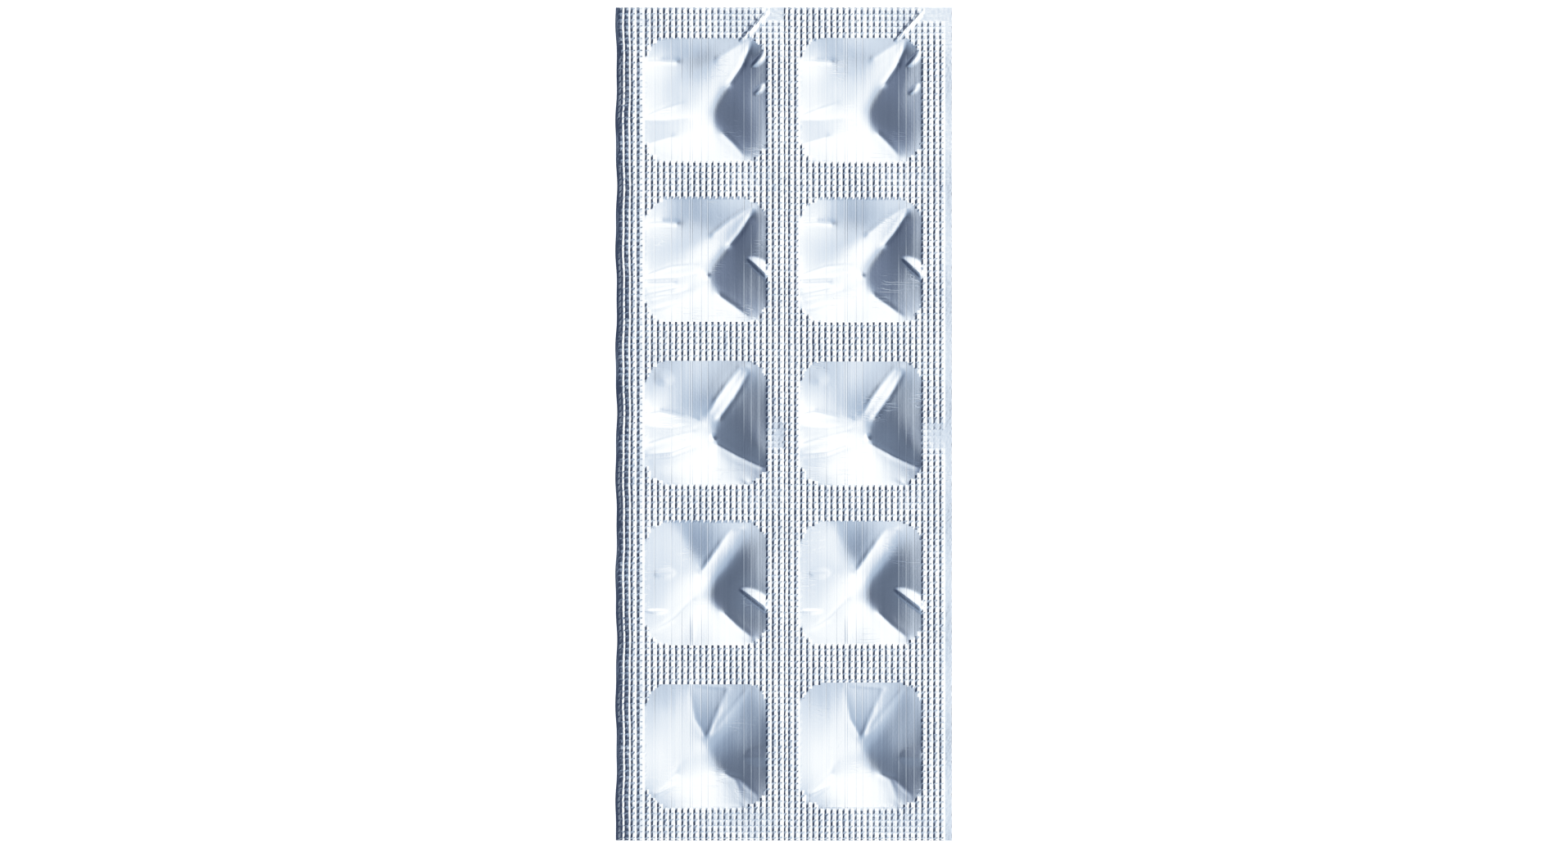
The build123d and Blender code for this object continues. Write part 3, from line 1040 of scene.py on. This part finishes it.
def foil_material():
    """The material of all the foil."""
    material = bpy.data.materials.new("bare_foil")
    material.use_nodes = True
    tree = material.node_tree
    shader = tree.nodes["Principled BSDF"]
    shader.inputs["Base Color"].default_value = (*FOIL_COLOUR, 1)
    shader.inputs["Metallic"].default_value = 1.0
    place = tree.nodes.new("ShaderNodeTexCoord").outputs["Object"]
    lines = group_node(tree, mill_group, place)
    wear = group_node(tree, wear_group, place)
    streaks = lines.outputs["Streaks"]
    rough = math_node(tree, "MULTIPLY_ADD", streaks, STREAK_ROUGHNESS, ROUGHNESS)
    tree.links.new(rough, shader.inputs["Roughness"])
    height = math_node(tree, "MULTIPLY_ADD", streaks, STREAK_HEIGHT, wear.outputs["Height"])
    height = math_node(tree, "SUBTRACT", height, lines.outputs["Height"])
    bump = tree.nodes.new("ShaderNodeBump")
    bump.inputs["Strength"].default_value = 1.0
    bump.inputs["Distance"].default_value = LINE_DEPTH * MM
    tree.links.new(height, bump.inputs["Height"])
    tree.links.new(bump.outputs[0], shader.inputs["Normal"])
    return material


foil = foil_material()
for piece in [seal] + columns:
    piece.data.materials.clear()
    piece.data.materials.append(foil)
    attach(piece, "root")
    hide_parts(SOLID)
print("foil on", [piece.name for piece in [seal] + columns])

# %% [markdown]
# Foil shows its surroundings and hardly any colour of its own, so the studio is the other half
# of its finish. Here it is a tent whose colour depends on the direction: pale blue overhead,
# white round the right side, grey blue at the near and far left, dark at the left, and greyer
# down at the horizon, with a black flag low on the left. Lamps and cards could stand in their
# places, but a world made of directions has no distances to get right. The camera sees white.

# %% The colours of the studio
OVERHEAD = (0.70, 0.78, 0.88)
# The wall of the tent, by degrees from the right side, with the far side at 90.
ROUND_THE_TENT = [
    (-180, (0.11, 0.14, 0.20)), (-152, (0.17, 0.22, 0.31)), (-130, (0.30, 0.38, 0.51)),
    (-108, (0.42, 0.52, 0.66)), (-90, (0.46, 0.56, 0.69)), (-77, (0.60, 0.69, 0.81)),
    (-64, (0.98, 1.0, 1.02)), (-52, (1.1, 1.1, 1.08)), (88, (1.1, 1.1, 1.08)),
    (104, (0.92, 0.96, 1.0)), (122, (0.62, 0.70, 0.80)), (140, (0.30, 0.37, 0.50)),
    (160, (0.15, 0.19, 0.28)), (180, (0.11, 0.14, 0.20)),
]
# The pale blue ends this far from straight up, and reaches further by a share to one side.
TENT_EDGE = 0.2
OVERHEAD_SIDE = math.radians(-30)
OVERHEAD_STRETCH = 0.4
# The flag's share is this slope times x plus this level, up to the most.
BLACK_FLAG = (0.03, 0.045, 0.09)
FLAG_SLOPE = -3.3
FLAG_LEVEL = -1.0
FLAG_MOST = 0.85
HORIZON = (0.40, 0.46, 0.55)
HORIZON_START = 0.8
HORIZON_SHARE = 0.7
WHITE = (1, 1, 1)
print("colours round the tent", len(ROUND_THE_TENT))

# %% Mixing colours by direction


def mix_colours(tree, share, first, second):
    """Two colours, each an output or three numbers, mixed by the share of the second."""
    mix = tree.nodes.new("ShaderNodeMix")
    mix.data_type = "RGBA"
    tree.links.new(share, mix.inputs["Factor"])
    for name, colour in (("A", first), ("B", second)):
        if isinstance(colour, bpy.types.NodeSocket):
            tree.links.new(colour, mix.inputs[name])
        else:
            mix.inputs[name].default_value = (*colour, 1)
    return mix.outputs["Result"]


def soft_share(tree, value, start, end, most):
    """A share that rises softly from 0 to the most while the value goes from start to end."""
    share = tree.nodes.new("ShaderNodeMapRange")
    share.interpolation_type = "SMOOTHSTEP"
    share.inputs["From Min"].default_value = start
    share.inputs["From Max"].default_value = end
    share.inputs["To Max"].default_value = most
    tree.links.new(value, share.inputs["Value"])
    return share.outputs["Result"]


def tent_wall(tree, x, y):
    """The colour of the tent's wall towards x and y."""
    turn = math_node(tree, "ARCTAN2", y, x)
    ramp = tree.nodes.new("ShaderNodeValToRGB")
    tree.links.new(math_node(tree, "MULTIPLY_ADD", turn, 0.5 / math.pi, 0.5), ramp.inputs[0])
    elements = ramp.color_ramp.elements
    while len(elements) < len(ROUND_THE_TENT):
        elements.new(0.5)
    for element, (degrees, colour) in zip(elements, ROUND_THE_TENT):
        element.position = degrees / 360 + 0.5
        element.color = (*colour, 1)
    return ramp.outputs["Color"]


# %% Lighting the studio


def light_studio():
    """Puts the tent round the scene and returns the world that it is."""
    world = bpy.data.worlds.new("studio")
    bpy.context.scene.world = world
    world.use_nodes = True
    tree = world.node_tree
    place = tree.nodes.new("ShaderNodeTexCoord")
    split = tree.nodes.new("ShaderNodeSeparateXYZ")
    tree.links.new(place.outputs["Generated"], split.inputs[0])
    x, y = split.outputs["X"], split.outputs["Y"]
    square = math_node(tree, "MULTIPLY_ADD", y, y, math_node(tree, "MULTIPLY", x, x))
    lean = math_node(tree, "SQRT", square)
    to_side = math_node(tree, "MULTIPLY_ADD", y, math.sin(OVERHEAD_SIDE),
                        math_node(tree, "MULTIPLY", x, math.cos(OVERHEAD_SIDE)))
    stretch = math_node(tree, "MULTIPLY", math_node(tree, "MAXIMUM", to_side, 0.0), OVERHEAD_STRETCH)
    reach = math_node(tree, "SUBTRACT", lean, stretch)
    on_wall = soft_share(tree, reach, 0.0, TENT_EDGE, 1.0)
    colour = mix_colours(tree, on_wall, OVERHEAD, tent_wall(tree, x, y))
    on_flag = math_node(tree, "MULTIPLY_ADD", x, FLAG_SLOPE, FLAG_LEVEL)
    on_flag = held_between(tree, on_flag, 0.0, FLAG_MOST)
    colour = mix_colours(tree, on_flag, colour, BLACK_FLAG)
    on_horizon = soft_share(tree, lean, HORIZON_START, 1.0, HORIZON_SHARE)
    colour = mix_colours(tree, on_horizon, colour, HORIZON)
    seen = tree.nodes.new("ShaderNodeLightPath")
    colour = mix_colours(tree, seen.outputs["Is Camera Ray"], colour, WHITE)
    tree.links.new(colour, tree.nodes["Background"].inputs["Color"])
    return world


studio = light_studio()
print("nodes for the studio", len(studio.node_tree.nodes))

# %% [markdown]
# The photo's ground is plain white, so the pack lies on a big sheet of white paper. Paper lit
# by this tent would come out bluish grey, and stronger light would spoil the foil. So it glows
# for the rays that come from the camera, straight or by way of a mirror or of glass, and for
# the rays that light things it is ordinary paper.

# %% The floor
FLOOR_SIZE = 3.0
FLOOR_GLOW = 0.75
PAPER = (0.8, 0.8, 0.8)

bpy.ops.object.select_all(action="DESELECT")
bpy.ops.mesh.primitive_plane_add(size=FLOOR_SIZE, location=(0, 0, 0))
floor = start_piece("studio_floor")
white = bpy.data.materials.new("white_paper")
white.use_nodes = True
tree = white.node_tree
shader = tree.nodes["Principled BSDF"]
shader.inputs["Base Color"].default_value = (*PAPER, 1)
shader.inputs["Roughness"].default_value = 1.0
shader.inputs["Specular IOR Level"].default_value = 0.0
shader.inputs["Emission Color"].default_value = (*WHITE, 1)
seen = tree.nodes.new("ShaderNodeLightPath").outputs
mirrored = math_node(tree, "MAXIMUM", seen["Is Glossy Ray"], seen["Is Transmission Ray"])
shown = math_node(tree, "MAXIMUM", seen["Is Camera Ray"], mirrored)
glow = math_node(tree, "MULTIPLY", shown, FLOOR_GLOW)
tree.links.new(glow, shader.inputs["Emission Strength"])
floor.data.materials.append(white)
print("floor in m", FLOOR_SIZE)

# %% [markdown]
# The photo looks straight down with a long lens, and the pack stands in the middle of it. A
# camera over a metre up has almost no perspective, and its lens follows from the width that
# the picture shows at the height of the foil.

# %% The camera
VIEW_WIDTH = 233.4 * MM
CAMERA_HEIGHT = 1.2
SENSOR_WIDTH = 36.0
camera_data = bpy.data.cameras.new("camera")
camera_data.sensor_width = SENSOR_WIDTH
camera_data.lens = SENSOR_WIDTH * CAMERA_HEIGHT / VIEW_WIDTH
camera = bpy.data.objects.new("camera", camera_data)
bpy.context.collection.objects.link(camera)
camera.location = (0, 0, CAMERA_HEIGHT + WEB_TOP * MM)
bpy.context.scene.camera = camera
bpy.context.scene.view_settings.view_transform = "Standard"
print("lens in mm", round(camera_data.lens, 1))
